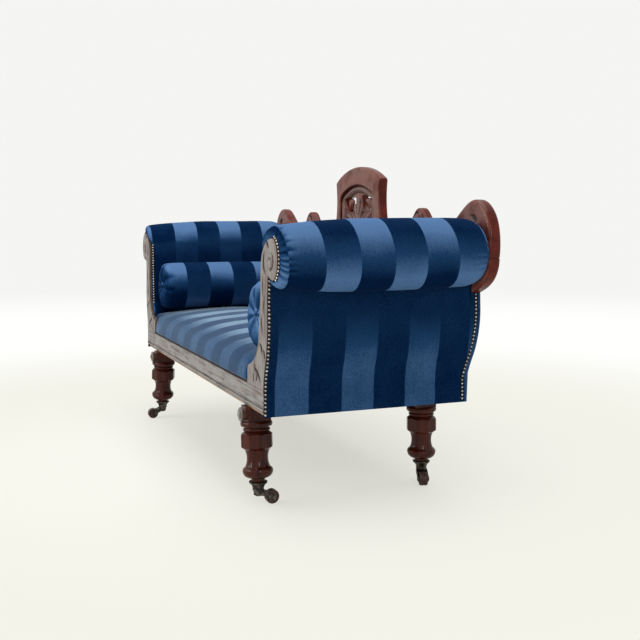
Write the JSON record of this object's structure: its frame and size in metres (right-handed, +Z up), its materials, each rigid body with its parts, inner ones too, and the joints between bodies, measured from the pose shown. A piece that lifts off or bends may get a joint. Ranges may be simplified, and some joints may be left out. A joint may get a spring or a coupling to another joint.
{
  "type": "settee",
  "caption": "Double-ended upholstered settee with scroll arms, a low carved wooden back, loose bolsters and turned legs on swivel castors.",
  "frame": {"origin": "on the floor, under the middle of the settee", "axes": "+X along the seat towards its right-hand end as a person facing its front sees it, -Y towards the front, +Z up"},
  "size_m": [1.8752, 0.6805, 0.997],
  "materials": {
    "mahogany": "polished mahogany, dulled by wear on the front faces",
    "beech": "bare frame wood",
    "velvet": "blue velvet in bands of opposite nap",
    "webbing": "woven jute",
    "linen": "black lining cloth",
    "castor_metal": "dark bronzed",
    "castor_wheel": "dark turned hardwood, worn on the tread"
  },
  "bodies": {
    "frame": {"arm_front_stump_left": "beech", "arm_front_stump_right": "beech", "arm_pad_left": "velvet", "arm_pad_right": "velvet", "arm_rear_stump_left": "beech", "arm_rear_stump_right": "beech", "arm_roll_rail_left": "beech", "arm_roll_rail_right": "beech", "arm_tacking_rail_left": "beech", "arm_tacking_rail_right": "beech", "back_pad": "velvet", "back_rail_left": "mahogany", "back_rail_right": "mahogany", "back_upright": "beech", "bottom_cloth": "linen", "castor_cup_front_left": "castor_metal", "castor_cup_front_right": "castor_metal", "castor_cup_rear_left": "castor_metal", "castor_cup_rear_right": "castor_metal", "corner_blocks": "beech", "crest_tablet": "mahogany", "ear_cheek_left": "mahogany", "ear_cheek_right": "mahogany", "end_rail_left": "beech", "end_rail_right": "beech", "front_rail": "mahogany", "leg_front_left": "mahogany", "leg_front_right": "mahogany", "leg_rear_left": "mahogany", "leg_rear_right": "mahogany", "leg_roundel_left": "mahogany", "leg_roundel_right": "mahogany", "outside_arm_left": "velvet", "outside_arm_right": "velvet", "outside_back": "velvet", "rear_rail": "beech", "scroll_facing_left": "mahogany", "scroll_facing_right": "mahogany", "seat_pad": "velvet", "seat_stretcher": "beech", "seat_webbing": "webbing"},
    "castor_front_right": {"castor_fork_front_right": "castor_metal", "castor_axle_front_right": "castor_metal"},
    "wheel_front_right": {"castor_wheel_front_right": "castor_wheel"},
    "castor_front_left": {"castor_fork_front_left": "castor_metal", "castor_axle_front_left": "castor_metal"},
    "wheel_front_left": {"castor_wheel_front_left": "castor_wheel"},
    "castor_rear_right": {"castor_fork_rear_right": "castor_metal", "castor_axle_rear_right": "castor_metal"},
    "wheel_rear_right": {"castor_wheel_rear_right": "castor_wheel"},
    "castor_rear_left": {"castor_fork_rear_left": "castor_metal", "castor_axle_rear_left": "castor_metal"},
    "wheel_rear_left": {"castor_wheel_rear_left": "castor_wheel"},
    "bolster_right": {"bolster_right": "velvet", "bolster_buttons_right": "velvet"},
    "bolster_left": {"bolster_left": "velvet", "bolster_buttons_left": "velvet"}
  },
  "joints": [
    {"name": "castor_swivel_front_right", "type": "hinge", "parent": "frame", "child": "castor_front_right", "pos_m": [0.63153, -0.278, 0.0345], "axis": [0, 0, 1], "continuous": true},
    {"name": "wheel_spin_front_right", "type": "hinge", "parent": "castor_front_right", "child": "wheel_front_right", "pos_m": [0.63153, -0.238, 0.0195], "axis": [-1, 0, 0], "continuous": true},
    {"name": "castor_swivel_front_left", "type": "hinge", "parent": "frame", "child": "castor_front_left", "pos_m": [-0.63153, -0.278, 0.0345], "axis": [0, 0, 1], "continuous": true},
    {"name": "wheel_spin_front_left", "type": "hinge", "parent": "castor_front_left", "child": "wheel_front_left", "pos_m": [-0.63153, -0.318, 0.0195], "axis": [1, 0, 0], "continuous": true},
    {"name": "castor_swivel_rear_right", "type": "hinge", "parent": "frame", "child": "castor_rear_right", "pos_m": [0.597, 0.255, 0.0345], "axis": [0, 0, 1], "continuous": true},
    {"name": "wheel_spin_rear_right", "type": "hinge", "parent": "castor_rear_right", "child": "wheel_rear_right", "pos_m": [0.63459, 0.24132, 0.0195], "axis": [0.342, 0.9397, 0], "continuous": true},
    {"name": "castor_swivel_rear_left", "type": "hinge", "parent": "frame", "child": "castor_rear_left", "pos_m": [-0.597, 0.255, 0.0345], "axis": [0, 0, 1], "continuous": true},
    {"name": "wheel_spin_rear_left", "type": "hinge", "parent": "castor_rear_left", "child": "wheel_rear_left", "pos_m": [-0.63459, 0.24132, 0.0195], "axis": [0.342, -0.9397, 0], "continuous": true},
    {"name": "bolster_lift_right", "type": "slide", "parent": "frame", "child": "bolster_right", "axis": [0, 0, 1], "range_m": [0, 0.35]},
    {"name": "bolster_lift_left", "type": "slide", "parent": "frame", "child": "bolster_left", "axis": [0, 0, 1], "range_m": [0, 0.35]}
  ]
}
